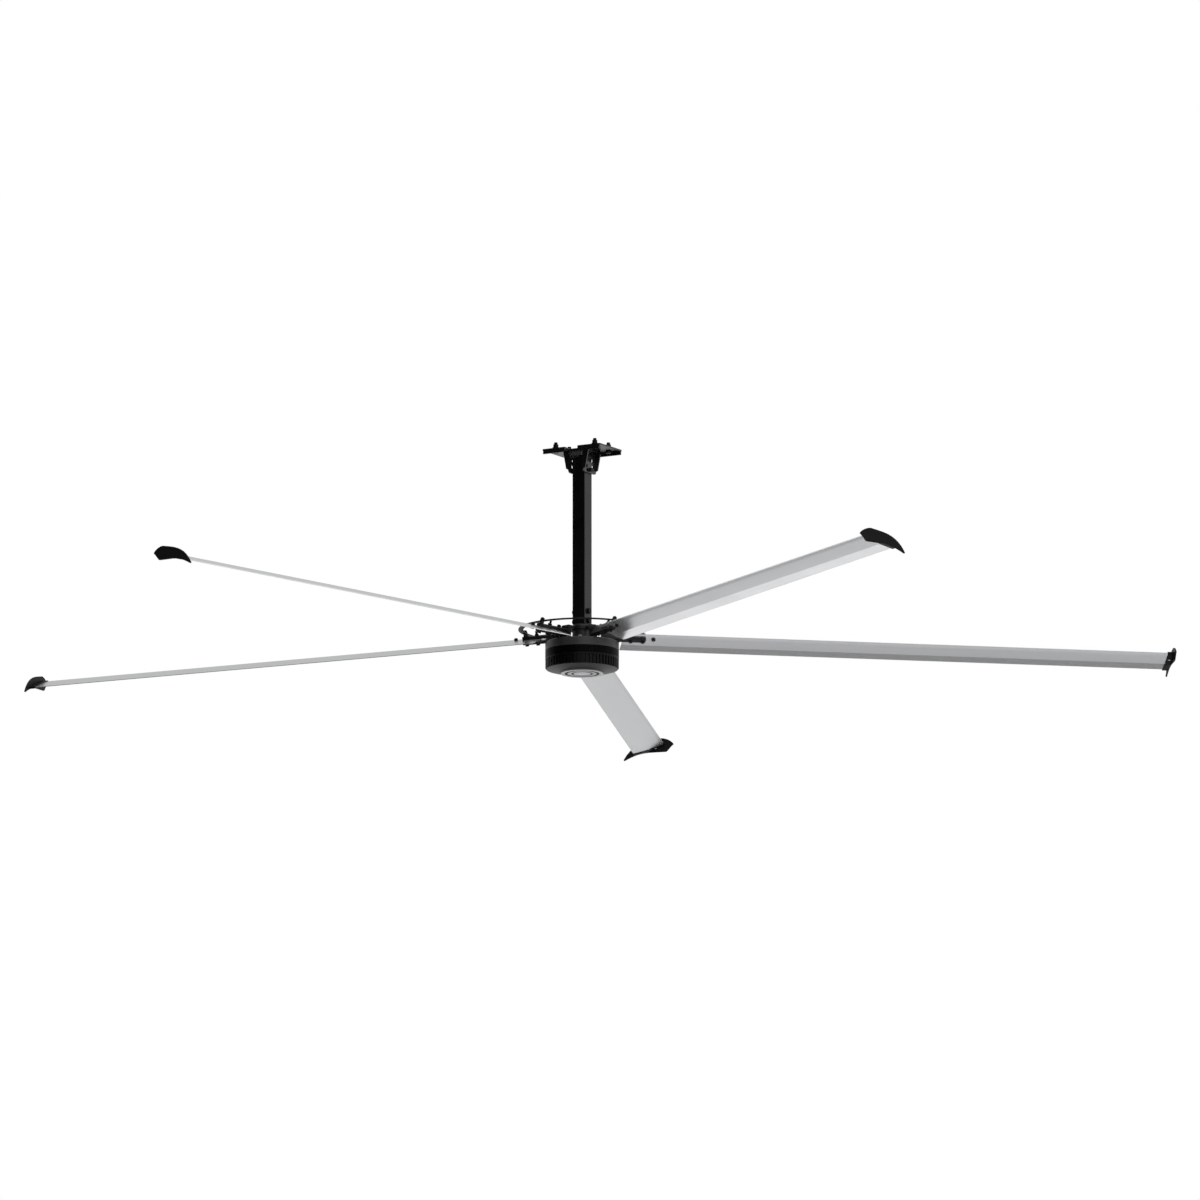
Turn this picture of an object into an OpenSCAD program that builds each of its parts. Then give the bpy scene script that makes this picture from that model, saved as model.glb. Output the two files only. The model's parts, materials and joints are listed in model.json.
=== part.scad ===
// Large five-blade industrial ceiling fan, hung on a square tube.
// Z = 0 is the ceiling face of the plate, +Z is up and the hanger pin lies along X.
// Heights in the fan itself are measured from the blade plane, in which the lower
// faces of the blades meet the middle lines of their arms.

/* [Ceiling plate] */
// Length of the plate along the hanger pin
plate_l = 236; // [210:1:300]
// Width of the plate across the hanger pin
plate_w = 155; // [145:1:220]
// Thickness of the plate
plate_t = 6; // [4:0.5:10]
// Depth of the turned-down lips under the plate
lip_h = 12; // [6:1:16]
// Thickness of the turned-down lips
lip_t = 5; // [3:0.5:8]
// Rounding of the plate's corners
plate_corner_r = 3; // [2:1:14]
// Width of the notch in the near edge
notch_w = 52; // [40:1:53]
// Depth of the notch in the near edge
notch_d = 43; // [30:1:48]
// Spacing of the ceiling bolts along X
bolt_span_x = 160; // [150:1:180]
// Spacing of the ceiling bolts along Y
bolt_span_y = 95; // [85:1:105]
// Shank radius of a ceiling bolt
ceiling_bolt_r = 6; // [4:0.5:8]
// How far a ceiling bolt stands above the plate
ceiling_bolt_up = 25; // [20:1:40]
// Thickness of the steel that the ceiling bolts can grip
grip_t = 5; // [3:0.5:6]

/* [Yoke and hanger pin] */
// Thickness of each ear of the yoke
ear_t = 5; // [3:0.5:8]
// Width of an ear
ear_w = 90; // [84:1:110]
// How far an ear's side lip stands out at the plate
lip_out_top = 21; // [12:1:30]
// How far an ear's side lip stands out at its lower edge
lip_out_low = 9; // [6:1:12]
// Distance from the ceiling face to the lower edge of the ears
ear_bottom = 88; // [86:1:110]
// Distance from the ceiling face to the hanger pin
pin_drop = 76; // [70:1:80]
// Radius of the hanger pin
pin_r = 7; // [5:0.5:8]
// Length of the slot above the pin
ear_slot_l = 50; // [30:1:60]
// Width of the slot above the pin
ear_slot_w = 14; // [8:1:18]
// Height of the slot above the pin
ear_slot_up = 35; // [30:1:42]
// Rounding of the lower corner of an ear
ear_corner_r = 12; // [6:1:18]
// Rounding of the lower corner of a side lip
lip_corner_r = 8; // [4:1:8]
// Radius of the two holes beside the pin
side_hole_r = 7; // [4:0.5:8]
// Distance from the pin to the holes beside it, along the ear
side_hole_at = 21; // [18:1:26]
// Height of the holes beside the pin above it
side_hole_up = 12; // [6:1:14]
// Gap between the tube and each ear
ear_gap = 1.1; // [0.5:0.1:3]

/* [Down tube] */
// Width of the square tube
tube_w = 50.8; // [46:0.2:56]
// Wall of the square tube
tube_wall = 3.2; // [2.5:0.1:4]
// Length of the square tube
tube_len = 600; // [300:10:1500]
// Length of tube above the hanger pin
tube_above_pin = 43.5; // [25:0.5:50]
// Corner radius of the square tube
tube_corner_r = 2.5; // [1.5:0.1:8]
// Height of the upper clamp bolt above the blade plane
clamp_high = 91; // [85:1:110]
// Height of the lower clamp bolt above the blade plane
clamp_low = 56; // [53:1:60]
// Shank radius of a clamp bolt
clamp_r = 6; // [4:0.5:7]

/* [Mast adapter and shaft] */
// Radius of the round collar under the tube
collar_r = 34.5; // [32:0.5:37]
// Top of the round collar above the blade plane
collar_top = 40; // [34:1:41]
// Bottom of the round collar below the blade plane
collar_low = 8; // [0:1:12]
// Height of the tube's lower end above the blade plane
tube_end_up = 43; // [42:0.5:46]
// Length of the square plug inside the tube
plug_len = 80; // [76:1:120]
// Radius of the motor shaft
shaft_r = 20; // [17:0.5:22]
// Radius of the cable bore through the shaft
shaft_bore_r = 10; // [5:0.5:12]

/* [Motor] */
// Outer radius of the motor
motor_r = 130.6; // [128:0.1:140]
// Distance from the blade plane down to the top of the motor
motor_top = 20.5; // [20:0.5:24]
// Height of the turned upper band
band_h = 30; // [27:0.5:40]
// Rounding of the upper band's top edge
band_edge_r = 4; // [2:0.5:8]
// Height of the smooth ring below the band
ring_h = 25.5; // [24:0.5:32]
// Running gap between the turning and the fixed housing
rotor_gap = 1.5; // [1:0.1:3]
// Number of magnets
magnet_n = 20; // [16:2:28]
// Thickness of a magnet
magnet_t = 5.8; // [4:0.1:7]
// Air gap between the magnets and the stator
air_gap = 1.5; // [0.8:0.1:2]
// Number of stator teeth
tooth_n = 24; // [18:3:24]
// Width of a bearing
bearing_w = 15; // [12:0.5:17]
// Outer radius of a bearing
bearing_r = 38; // [35:0.5:42]
// Number of balls in a bearing
ball_n = 12; // [8:1:14]
// Radius of a bearing ball
ball_r = 4.7; // [4:0.1:5]

/* [Fixed housing] */
// Height of the fixed housing
housing_h = 39.5; // [36:0.5:50]
// Number of cooling fins
fin_n = 60; // [36:6:72]
// Depth of a cooling fin
fin_depth = 5; // [2:0.5:8]
// Share of the fin pitch that is solid
fin_share = 0.5; // [0.3:0.05:0.7]
// Height of the plain rim above the fins
fin_rim_h = 6; // [3:0.5:10]
// Height of the shallow lower cone
cone_h = 12; // [6:0.5:16]
// Radius of the nose disc
nose_r = 78.7; // [76:0.1:90]
// Height of the nose disc
nose_h = 4; // [4:0.5:8]

/* [Blades] */
// Radius from the fan's axis to the outer face of a winglet
fan_r = 2134; // [1500:1:2700]
// Radius at which a blade starts
blade_start_r = 150; // [146:1:160]
// Distance from the arm's middle line to the leading edge
nose_ahead = 25; // [22:0.5:40]
// Length of the flat-bottomed front part, from the leading edge to the crease
front_len = 67.5; // [60:0.5:90]
// Length of the tail, whose lower face rises from the crease to the trailing edge
tail_len = 47; // [35:0.5:60]
// Length of the rounded nose
nose_len = 16; // [10:0.5:18]
// Thickness of the front part of a blade
blade_t = 8; // [7:0.5:10]
// Thickness of the trailing edge
tail_t = 2; // [1.5:0.1:4]
// Wall of the blade's hollow section
blade_wall = 1.8; // [1.2:0.1:2.2]
// Pitch of the blades, leading edge up
pitch = 21.3; // [10:0.1:22]
// Angle from X to the first blade
first_angle = 41.2; // [30:0.1:60]
// Number of blades
blade_n = 5; // [5:1:5]

/* [Hub] */
// Outer radius of the hub's flange on the motor
hub_flange_r = 84; // [82:1:90]
// Thickness of the hub's flange
hub_flange_t = 8; // [6:0.5:9]
// Outer radius of the hub's top ring
top_ring_r = 50; // [46:1:60]
// Height of the hub's top face above the blade plane
hub_up = 32; // [30:1:33]
// Thickness of the hub's top ring and spokes
spoke_t = 10; // [6:0.5:12]
// Width of a spoke and its riser
riser_w = 24; // [22:1:28]
// Length of a riser along its spoke
riser_l = 14; // [10:1:18]
// Gap between the turning hub and the fixed collar
hub_gap = 2.5; // [1.5:0.5:5]

/* [Blade arms and safety ring] */
// Width of a blade arm
arm_w = 20; // [18:1:22]
// Thickness of a blade arm
arm_t = 11; // [8:0.5:11.5]
// Rounding of the arm's outer edges
arm_edge_r = 3; // [1:0.5:4]
// Radius at which a blade arm ends
arm_end_r = 228; // [226:1:245]
// Radius of the first bolt through the arms
hub_bolt_r1 = 104; // [96:1:108]
// Radius of the second bolt through the arms
hub_bolt_r2 = 127; // [122:1:129]
// Radius of the first bolt through a blade
root_bolt_r = 174; // [166:1:184]
// Radius of the bolts that carry the safety ring
ring_bolt_r = 217; // [210:1:217]
// Radius of the blade's outer bolt
outer_bolt_r = 257; // [252:1:290]
// Shank radius of the blade bolts
bolt_r = 4; // [3:0.5:4.5]
// Length of bolt that stands above the nut of a blade's first bolt
root_bolt_tail = 10; // [2:1:14]
// Inner radius of the safety ring
safety_in_r = 208; // [196:1:208]
// Outer radius of the safety ring
safety_out_r = 226; // [226:1:236]
// Thickness of the safety ring
safety_t = 3; // [2:0.5:5]
// Height of the safety ring's lower face above the blade plane
safety_up = 24.5; // [22:0.5:40]
// Outer radius of the spacer sleeves
sleeve_r = 8; // [7:0.5:8.5]

/* [Winglets] */
// Thickness of a winglet's plate
winglet_t = 3.5; // [2:0.5:6]
// Depth of the socket round the blade's end
socket_depth = 20; // [12:1:40]
// Wall of the socket
socket_wall = 3; // [2:0.5:5]
// Radius of the winglet screws
winglet_screw_r = 2.5; // [2:0.5:3]
// Distance from the arm's middle line to the winglet screws, towards the trailing edge
winglet_screw_back = 9; // [6:0.5:10]
// Distance from the arm's middle line to the winglet's nose
winglet_ahead = 56.5; // [50:0.5:70]
// Height of the winglet's nose above the blade plane
winglet_up = 10; // [6:0.5:14]

/* [Fits] */
// Radial clearance of a running fit
run_fit = 0.05; // [0.02:0.01:0.1]
// Clearance of a sliding seat
seat_fit = 0.1; // [0.05:0.05:0.3]
// Radial clearance of a bolt in its hole
bolt_gap = 0.2; // [0.1:0.05:0.4]
// Clearance round the balls on the fixed race
ball_gap = 0.3; // [0.2:0.05:0.5]

/* [Hidden] */
$fn = 96;
eps = 1;
blade_step = 360 / blade_n;
pin_z = -pin_drop;
tube_top = pin_z + tube_above_pin;
tube_bottom = tube_top - tube_len;
blade_z = tube_bottom - tube_end_up;
yoke_in = tube_w / 2 + ear_gap;
yoke_out = yoke_in + ear_t;
lip_low = -plate_t - lip_h;
ear_lip_low = -ear_bottom + ear_corner_r;
bridge_from = -plate_w / 2 + notch_d + 2;
bridge_to = ear_w / 2 - 6;
plug_w = tube_w - 2 * tube_wall - 2 * seat_fit;
collar_cone = 5;
shaft_short = 1.5;

// Bolts and nuts: half widths across the flats, heights of heads and nuts
hex_over = 1 / cos(30);
large_half = 9;
large_head = 7.5;
large_nut = 10;
large_tail = 3;
washer_t = 2.5;
small_half = 6.5;
small_head = 5.3;
small_nut = 6.2;
short_tail = 2;
pin_head_r = pin_r + 4;
pin_head_t = 5;
pin_tail = 9;
split_at = yoke_out + 4;
split_r = 1.6;
split_hole_r = 1.8;
split_eye_r = 3;
split_wire_r = 1.3;
split_leg_r = 1;
split_leg_len = 9;
split_spread = 35;
bush_wall = 5;

// Motor, from the outside in and from the top down
cover_t = 6;
band_low = motor_top + band_h;
rotor_low = band_low + ring_h;
housing_top = rotor_low + rotor_gap;
housing_low = housing_top + housing_h;
cone_low = housing_low + cone_h;
band_wall = 5;
can_r = motor_r - band_wall - seat_fit;
can_wall = 7.4;
can_base = 3;
can_step = 1.4;
can_top_gap = 5;
base_t = 5;
base_lip = 4;
magnet_out_r = can_r - can_wall;
magnet_share = 0.78;
magnet_over = 2;
stator_r = magnet_out_r - magnet_t - air_gap;
upper_bearing_top = motor_top + 4;
lower_bearing_low = rotor_low - 1;
stator_hub_half = 10;
stack_h = 24;
stack_mid = lower_bearing_low - bearing_w - stator_hub_half;
tooth_w = 10.5;
tooth_tip = 6;
yoke_ring_r = stator_r - 32;
stator_in_r = yoke_ring_r - 12;
sleeve_out_r = shaft_r + 10;
hub_sleeve_up = 7;
hub_web_half = 4;
hub_rim_r = stator_in_r - 5;
hub_hole_r = 8;
coil_t = 4;
coil_gap = 0.3;
coil_hole_h = stack_h + 1;
coil_in_r = yoke_ring_r + 4;
coil_out_r = stator_r - 8;
ball_path_r = (bearing_r + shaft_r) / 2;
land_gap = 2.5;
boss_wall = 8;
boss_r = bearing_r + boss_wall;
hole_lip = 8;
base_screw_r = 1.5;
base_screw_head_r = 2.75;
base_screw_len = 12;
base_screw_low = 0.2;
base_screw_head = 0.8;
base_screw_at = (magnet_out_r + can_r) / 2 - 0.8;

// Hub, arms and blades
hub_in_r = collar_r + hub_gap + 3;
hub_screw_r = 4;
hub_screw_head_r = 6.5;
hub_screw_head = 8;
hub_screw_key = 3;
hub_screw_at = (hub_in_r + hub_flange_r) / 2;
riser_out_r = sqrt(pow(hub_flange_r, 2) - pow(riser_w / 2, 2)) - 0.5;
riser_in_r = riser_out_r - riser_l;
riser_step = 0.5;
riser_h = motor_top + hub_up - (hub_flange_t + spoke_t) / 2;
tongue_end_r = blade_start_r - 14;
arm_start_r = hub_flange_r + 2;
sandwich = blade_t / 2 + arm_t;
crease_at = front_len - nose_ahead;
tail_end = crease_at + tail_len;
tail_rise = (blade_t - tail_t) / tail_len;
tail_cell = min(0.8 * tail_len, (blade_t - 2 * blade_wall - 1) / tail_rise);
web_front = 8;
web_back = 14;
wedge_top = (safety_up + safety_t + sleeve_r * sin(pitch)) / cos(pitch) - blade_t / 2 + 0.5;
tip_in_r = fan_r - winglet_t;
winglet_screw_at = tip_in_r - socket_depth / 2;
winglet_head_r = 4.5;
winglet_head = 2.2;
winglet_top = 32.5;
winglet_low = -17;
winglet_tip = [123.5, -43];

// Fixed housing
flange_r = 60;
flange_plate_t = 6;
flange_bolt_deep = 3.5;
flange_bolt_r = 3;
flange_bolt_head = 4;
flange_bolt_half = 5;
flange_bolt_at = (flange_r + shaft_r) / 2 + 6;
shaft_step = 5;
housing_plate_t = 6;
plate_low = housing_top + housing_plate_t;
flange_low = plate_low + flange_plate_t;
fin_root_r = motor_r - fin_depth;
fin_tip_r = motor_r - 0.4;
fin_flank = 0.08;
fin_foot = 4;
housing_wall = 5;
housing_in_r = fin_root_r - housing_wall;
post_r = 5;
post_at = 67;
board_r = 108;
board_in_r = 30;
board_t = 1.6;
board_down = 19;
board_top = housing_top + board_down;
board_post_r = 4;
board_post_at = 90;
capacitor_r = 8;
capacitor_h = 8;
capacitor_at = 48;
cover_shell = 2.5;
cover_spigot = 3;
cover_rim_h = 5;
cover_screw_r = 2.5;
cover_screw_len = 14;
cover_head_r = 4.5;
cover_head = 2;
nose_recess = 2.2;
nose_rim = 5;
nose_groove = 0.8;
nose_groove_w = 2;

// General helpers

// A hexagon prism with the given half width across its flats.
module hex(half_flats, h) cylinder(r = half_flats * hex_over, h = h, $fn = 6);

module nut(half_flats, r, h) difference() {
    hex(half_flats, h);
    translate([0, 0, -eps]) cylinder(r = r + run_fit, h = h + 2 * eps);
}

// A bolt with its head below z = 0 and a nut on top of the clamped height.
module bolt_and_nut(r, clamped, tail) {
    translate([0, 0, -small_head]) hex(small_half, small_head);
    cylinder(r = r, h = clamped + small_nut + tail);
    translate([0, 0, clamped]) nut(small_half, r, small_nut);
}

// A ring about the Z axis between two heights.
module ring(r_in, r_out, z_low, z_high) {
    translate([0, 0, z_low]) difference() {
        cylinder(r = r_out, h = z_high - z_low);
        translate([0, 0, -eps]) cylinder(r = r_in, h = z_high - z_low + 2 * eps);
    }
}

// A rectangle with round corners, centred.
module soft_square(w, h, r) {
    for (x = [-1, 1], y = [-1, 1]) translate([x * (w / 2 - r), y * (h / 2 - r)]) circle(r);
    square([w - 2 * r, h], center = true);
    square([w, h - 2 * r], center = true);
}

// Children in the fan's own heights, with the blade plane at zero.
module at_fan() translate([0, 0, blade_z]) children();

// Children turned to blade number i.
module at_blade(i) at_fan() rotate(first_angle + blade_step * (i - 1)) children();

// Children in the pitched middle plane of a blade that lies along X.
module pitched() rotate([-pitch, 0, 0]) translate([0, 0, blade_t / 2]) children();

// Children on the middle line of a blade arm at the given radius, in the pitched plane.
module on_arm(r) pitched() translate([r, 0, 0]) children();

// Ceiling plate and its bolts

module bolt_places() {
    for (x = [-1, 1], y = [-1, 1]) translate([x * bolt_span_x / 2, y * bolt_span_y / 2, 0]) children();
}

module ceiling_plate() color("dimgray") difference() {
    union() {
        translate([0, 0, -plate_t]) linear_extrude(plate_t) soft_square(plate_l, plate_w, plate_corner_r);
        for (s = [-1, 1])
            translate([-plate_l / 2 + plate_corner_r, s * (plate_w - lip_t) / 2 - lip_t / 2, lip_low])
                cube([plate_l - 2 * plate_corner_r, lip_t, lip_h + eps]);
    }
    translate([-notch_w / 2, -plate_w / 2 - eps, lip_low - eps])
        cube([notch_w, notch_d + eps, lip_h + plate_t + 2 * eps]);
    bolt_places() translate([0, 0, -plate_t - eps])
        cylinder(r = ceiling_bolt_r + bolt_gap, h = plate_t + 2 * eps);
}

module ceiling_bolts() color("silver") bolt_places() {
    translate([0, 0, -plate_t - large_head]) hex(large_half, large_head);
    translate([0, 0, -plate_t - eps]) cylinder(r = ceiling_bolt_r, h = plate_t + eps + ceiling_bolt_up);
}

module ceiling_washers() color("silver") bolt_places()
    ring(ceiling_bolt_r + bolt_gap, ceiling_bolt_r * 2, grip_t, grip_t + washer_t);

module ceiling_nuts() color("silver") bolt_places() translate([0, 0, grip_t + washer_t])
    nut(large_half, ceiling_bolt_r, large_nut);

// Yoke, hanger pin and split pin

// An ear seen along the hanger pin.
module ear_outline() difference() {
    union() {
        translate([-ear_w / 2, -ear_bottom + ear_corner_r])
            square([ear_w, ear_bottom - ear_corner_r - plate_t]);
        translate([-ear_w / 2 + ear_corner_r, -ear_bottom])
            square([ear_w - 2 * ear_corner_r, ear_bottom - plate_t]);
        for (s = [-1, 1]) translate([s * (ear_w / 2 - ear_corner_r), -ear_bottom + ear_corner_r])
            circle(ear_corner_r);
    }
    for (s = [-1, 1]) {
        translate([s * (ear_slot_l - ear_slot_w) / 2, pin_z + ear_slot_up]) circle(ear_slot_w / 2);
        translate([s * side_hole_at, pin_z + side_hole_up]) circle(side_hole_r);
    }
    translate([-(ear_slot_l - ear_slot_w) / 2, pin_z + ear_slot_up - ear_slot_w / 2])
        square([ear_slot_l - ear_slot_w, ear_slot_w]);
}

// A side lip seen across the hanger pin: wide at the plate, narrow and rounded below.
module lip_outline() {
    polygon([[yoke_in, -plate_t], [yoke_out + lip_out_top, -plate_t],
        [yoke_out + lip_out_low, ear_lip_low + lip_corner_r],
        [yoke_out + lip_out_low - lip_corner_r, ear_lip_low], [yoke_in, ear_lip_low]]);
    translate([yoke_out + lip_out_low - lip_corner_r, ear_lip_low + lip_corner_r]) circle(lip_corner_r);
}

module ear() {
    translate([yoke_in, 0, 0]) rotate([90, 0, 90]) linear_extrude(ear_t) ear_outline();
    for (y = [-ear_w / 2 + ear_t, ear_w / 2]) translate([0, y, 0]) rotate([90, 0, 0])
        linear_extrude(ear_t) lip_outline();
}

module yoke() color("dimgray") difference() {
    union() {
        for (a = [0, 180]) rotate(a) ear();
        translate([-yoke_out, bridge_from, -plate_t - ear_t])
            cube([2 * yoke_out, bridge_to - bridge_from, ear_t]);
    }
    translate([-yoke_out - eps, 0, pin_z]) rotate([0, 90, 0])
        cylinder(r = pin_r + run_fit, h = 2 * (yoke_out + eps));
}

module hanger_pin() color("silver") translate([-yoke_out, 0, pin_z]) rotate([0, 90, 0]) difference() {
    union() {
        translate([0, 0, -pin_head_t]) cylinder(r = pin_head_r, h = pin_head_t);
        cylinder(r = pin_r, h = 2 * yoke_out + pin_tail);
    }
    translate([0, 0, yoke_out + split_at]) rotate([90, 0, 0])
        cylinder(r = split_hole_r, h = 4 * pin_r, center = true);
}

// The split pin stands in the hanger pin's cross hole, its eye in front and its legs bent apart behind.
module split_pin() color("silver") translate([split_at, 0, pin_z]) {
    rotate([90, 0, 0]) cylinder(r = split_r, h = 2 * pin_r + 7, center = true);
    translate([0, -pin_r - 5.5, 0]) rotate([0, 90, 0]) rotate_extrude() translate([split_eye_r, 0])
        circle(split_wire_r);
    for (s = [-1, 1]) translate([0, pin_r + 3, 0]) rotate([s * split_spread - 90, 0, 0])
        cylinder(r = split_leg_r, h = split_leg_len);
}

// Down tube, bush, clamp bolts and adapter

module clamp_places() {
    for (z = [clamp_high, clamp_low]) translate([0, 0, z]) rotate([0, 90, 0]) children();
}

module down_tube() color("dimgray") difference() {
    translate([0, 0, tube_bottom]) linear_extrude(tube_len) difference() {
        soft_square(tube_w, tube_w, tube_corner_r);
        square(tube_w - 2 * tube_wall, center = true);
    }
    translate([0, 0, pin_z]) rotate([0, 90, 0])
        cylinder(r = pin_r + run_fit, h = tube_w + 2 * eps, center = true);
    at_fan() clamp_places() cylinder(r = clamp_r + bolt_gap, h = tube_w + 2 * eps, center = true);
}

module pin_bush() color("silver") translate([0, 0, pin_z]) rotate([0, 90, 0]) difference() {
    cylinder(r = pin_r + bush_wall, h = tube_w - 2 * tube_wall, center = true);
    cylinder(r = pin_r + run_fit, h = tube_w, center = true);
}

module clamp_bolts() color("silver") at_fan() clamp_places() {
    translate([0, 0, tube_w / 2]) hex(large_half, large_head);
    translate([0, 0, -tube_w / 2 - large_nut - large_tail])
        cylinder(r = clamp_r, h = tube_w + large_nut + large_tail + eps);
    translate([0, 0, -tube_w / 2 - large_nut]) nut(large_half, clamp_r, large_nut);
}

module mast_adapter() color("dimgray") at_fan() difference() {
    union() {
        translate([0, 0, -collar_low]) cylinder(r = collar_r, h = collar_top + collar_low);
        translate([0, 0, collar_top])
            cylinder(r1 = collar_r, r2 = collar_r - collar_cone, h = tube_end_up - collar_top);
        translate([0, 0, tube_end_up - eps]) linear_extrude(plug_len + eps) square(plug_w, center = true);
    }
    translate([0, 0, -collar_low - eps]) cylinder(r = shaft_r + run_fit, h = collar_top + collar_low);
    cylinder(r = shaft_bore_r, h = tube_end_up + plug_len + eps);
    clamp_places() cylinder(r = clamp_r + bolt_gap, h = tube_w, center = true);
}

// Shaft, stator and bearings

module flange_places() for (a = [30:60:330]) rotate(a) translate([flange_bolt_at, 0, 0]) children();

module motor_shaft() color("silver") at_fan() difference() {
    union() {
        translate([0, 0, -flange_low]) cylinder(r = shaft_r, h = flange_low + collar_top - shaft_short);
        ring(shaft_r - eps, shaft_r + shaft_step, -plate_low, -lower_bearing_low);
        translate([0, 0, -flange_low]) cylinder(r = flange_r, h = flange_plate_t);
    }
    translate([0, 0, -flange_low - eps])
        cylinder(r = shaft_bore_r, h = flange_low + collar_top + 2 * eps);
    flange_places() translate([0, 0, -flange_low - eps])
        cylinder(r = flange_bolt_r + bolt_gap, h = flange_plate_t + 2 * eps);
}

module stator_hub() color("silver") at_fan() translate([0, 0, -stack_mid]) difference() {
    union() {
        ring(shaft_r + run_fit, sleeve_out_r, -stator_hub_half, hub_sleeve_up);
        ring(shaft_r + shaft_step, stator_in_r - seat_fit, -hub_web_half, hub_web_half);
        ring(hub_rim_r, stator_in_r - seat_fit, -stator_hub_half, stator_hub_half);
    }
    for (a = [0:60:300]) rotate(a) translate([(sleeve_out_r + hub_rim_r) / 2, 0, -hub_web_half - eps])
        cylinder(r = hub_hole_r, h = 2 * (hub_web_half + eps));
}

// One lamination: an inner ring with teeth whose tips widen towards the magnets.
module stator_outline() {
    difference() {
        circle(yoke_ring_r);
        circle(stator_in_r);
    }
    intersection() {
        circle(stator_r);
        for (i = [0:tooth_n - 1]) rotate(i * 360 / tooth_n) {
            translate([yoke_ring_r - 2, -tooth_w / 2]) square([stator_r - yoke_ring_r + 4, tooth_w]);
            translate([stator_r - tooth_tip, -tooth_w]) square([tooth_tip + 2, 2 * tooth_w]);
        }
    }
}

module stator_core() color("gray") at_fan() translate([0, 0, -stack_mid - stack_h / 2])
    linear_extrude(stack_h) stator_outline();

module stator_coils() color("peru") at_fan() for (i = [0:tooth_n - 1])
    rotate(i * 360 / tooth_n) translate([(coil_in_r + coil_out_r) / 2, 0, -stack_mid]) difference() {
        cube([coil_out_r - coil_in_r, tooth_w + 2 * coil_t, coil_hole_h + 2 * coil_t], center = true);
        cube([coil_out_r - coil_in_r + 2 * eps, tooth_w + 2 * coil_gap, coil_hole_h], center = true);
    }

// A bearing's inner race, its lower face at z = 0, with a groove that clears the balls.
module inner_race() rotate_extrude() difference() {
    translate([shaft_r + run_fit, 0]) square([ball_path_r - land_gap - shaft_r, bearing_w]);
    translate([ball_path_r, bearing_w / 2]) circle(ball_r + ball_gap);
}

module outer_race() rotate_extrude() difference() {
    translate([ball_path_r + land_gap, 0]) square([bearing_r - ball_path_r - land_gap, bearing_w]);
    translate([ball_path_r, bearing_w / 2]) circle(ball_r + run_fit);
}

module at_upper_bearing() at_fan() translate([0, 0, -upper_bearing_top - bearing_w]) children();

module at_lower_bearing() at_fan() translate([0, 0, -lower_bearing_low]) children();

module race_balls() for (i = [0:ball_n - 1]) rotate(i * 360 / ball_n)
    translate([ball_path_r, 0, bearing_w / 2]) sphere(ball_r, $fn = 32);

module upper_inner_race() color("silver") at_upper_bearing() inner_race();

module lower_inner_race() color("silver") at_lower_bearing() inner_race();

module upper_outer_race() color("silver") at_upper_bearing() outer_race();

module lower_outer_race() color("silver") at_lower_bearing() outer_race();

module bearing_balls() color("white") {
    at_upper_bearing() race_balls();
    at_lower_bearing() race_balls();
}

// Turning part of the motor

module magnets() color("dimgray") at_fan() for (i = [0:magnet_n - 1])
    rotate((i + 0.5 - magnet_share / 2) * 360 / magnet_n)
        translate([0, 0, -stack_mid - stack_h / 2 - magnet_over])
            rotate_extrude(angle = magnet_share * 360 / magnet_n)
                translate([magnet_out_r - magnet_t, 0])
                    square([magnet_t - seat_fit, stack_h + 2 * magnet_over]);

// Upper cover: the gray turned band, its top plate and the upper bearing's seat.
module rotor_cover() color("darkgray") at_fan() difference() {
    rotate_extrude() difference() {
        union() {
            translate([bearing_r - hole_lip, -motor_top - cover_t])
                square([motor_r - bearing_r + hole_lip, cover_t]);
            translate([motor_r - band_wall, -band_low]) square([band_wall, band_h]);
            translate([bearing_r - eps, -upper_bearing_top - bearing_w - 1])
                square([boss_wall + eps, bearing_w + 1 + upper_bearing_top - motor_top]);
        }
        translate([0, -upper_bearing_top - 2 * bearing_w]) square([bearing_r + run_fit, 2 * bearing_w]);
        translate([motor_r - band_edge_r, -motor_top - band_edge_r]) difference() {
            square(band_edge_r + eps);
            circle(band_edge_r);
        }
    }
    hub_screw_places() translate([0, 0, -motor_top - cover_t - eps])
        cylinder(r = hub_screw_r + run_fit, h = cover_t + 2 * eps);
}

module base_screw_places() for (a = [18:36:342]) rotate(a) translate([base_screw_at, 0, -rotor_low])
    children();

// Steel can: it carries the magnets and shows as the smooth ring under the band.
module rotor_can() color("#222222") at_fan() difference() {
    union() {
        ring(magnet_out_r, can_r, -rotor_low + can_base, -motor_top - cover_t - can_top_gap);
        ring(can_r - eps, motor_r, -rotor_low, -band_low);
    }
    ring(magnet_out_r - eps, can_r - can_step, -rotor_low - eps, -rotor_low + can_base);
    base_screw_places() cylinder(r = base_screw_r + run_fit, h = base_screw_len + 1);
}

// Base of the turning part: the lower bearing's seat, with ten screws set into its rim.
module rotor_base() color("#222222") at_fan() {
    difference() {
        union() {
            ring(bearing_r - base_lip, can_r - can_step - seat_fit, -rotor_low, -rotor_low + can_base);
            ring(bearing_r, magnet_out_r - seat_fit, -rotor_low + 1, -rotor_low + base_t);
            ring(bearing_r, boss_r, -rotor_low, -rotor_low + 1 + bearing_w);
        }
        translate([0, 0, -lower_bearing_low]) cylinder(r = bearing_r + run_fit, h = bearing_w + 2);
        base_screw_places() {
            translate([0, 0, -eps]) cylinder(r = base_screw_r + bolt_gap, h = base_t + 3);
            translate([0, 0, -eps])
                cylinder(r = base_screw_head_r + bolt_gap, h = eps + base_screw_low + base_screw_head);
        }
    }
    base_screw_places() translate([0, 0, base_screw_low]) {
        cylinder(r = base_screw_head_r, h = base_screw_head);
        cylinder(r = base_screw_r, h = base_screw_len);
    }
}

// Hub that the blades are bolted to

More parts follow.
